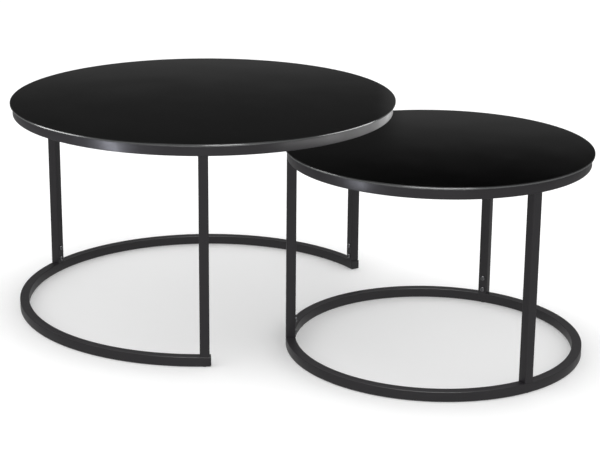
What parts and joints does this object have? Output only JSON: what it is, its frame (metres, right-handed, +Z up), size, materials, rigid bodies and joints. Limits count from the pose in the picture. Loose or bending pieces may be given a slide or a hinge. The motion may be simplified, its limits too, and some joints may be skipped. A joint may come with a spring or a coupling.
{
  "type": "nesting tables",
  "caption": "Round nesting tables with black glass tops on square-tube steel frames; the lower one slides in below the taller through its open base ring.",
  "frame": {"origin": "on the floor, below the middle of the pair's overall box", "axes": "+X from the large table's centre towards the small one's, the way the small table pulls out; +Z up"},
  "size_m": [1.238, 0.8, 0.446],
  "materials": {
    "glass": "black back-painted, polished",
    "clear_pad": "clear silicone",
    "frame": "satin black powder coat",
    "plug": "fine matte black",
    "floor_pad": "matte black",
    "screw": "black oxide"
  },
  "bodies": {
    "large_table": {"large_glass_top": "glass", "large_glass_pad_1": "clear_pad", "large_glass_pad_2": "clear_pad", "large_glass_pad_3": "clear_pad", "large_glass_pad_4": "clear_pad", "large_top_ring": "frame", "large_base_ring": "frame", "large_front_end_plug": "plug", "large_rear_end_plug": "plug", "large_front_floor_pad": "floor_pad", "large_rear_floor_pad": "floor_pad", "large_back_floor_pad": "floor_pad", "large_front_leg": "frame", "large_rear_leg": "frame", "large_back_leg": "frame", "large_front_leg_lower_screw": "screw", "large_front_leg_upper_screw": "screw", "large_rear_leg_lower_screw": "screw", "large_rear_leg_upper_screw": "screw", "large_back_leg_lower_screw": "screw", "large_back_leg_upper_screw": "screw"},
    "small_table": {"small_glass_top": "glass", "small_glass_pad_1": "clear_pad", "small_glass_pad_2": "clear_pad", "small_glass_pad_3": "clear_pad", "small_glass_pad_4": "clear_pad", "small_top_ring": "frame", "small_base_ring": "frame", "small_front_floor_pad": "floor_pad", "small_rear_floor_pad": "floor_pad", "small_back_floor_pad": "floor_pad", "small_front_leg": "frame", "small_rear_leg": "frame", "small_back_leg": "frame", "small_front_leg_lower_screw": "screw", "small_front_leg_upper_screw": "screw", "small_rear_leg_lower_screw": "screw", "small_rear_leg_upper_screw": "screw", "small_back_leg_lower_screw": "screw", "small_back_leg_upper_screw": "screw"}
  },
  "joints": [
    {"name": "small_table_slide", "type": "slide", "parent": "large_table", "child": "small_table", "axis": [-1, 0, 0], "range_m": [-0.18, 0.538]}
  ]
}
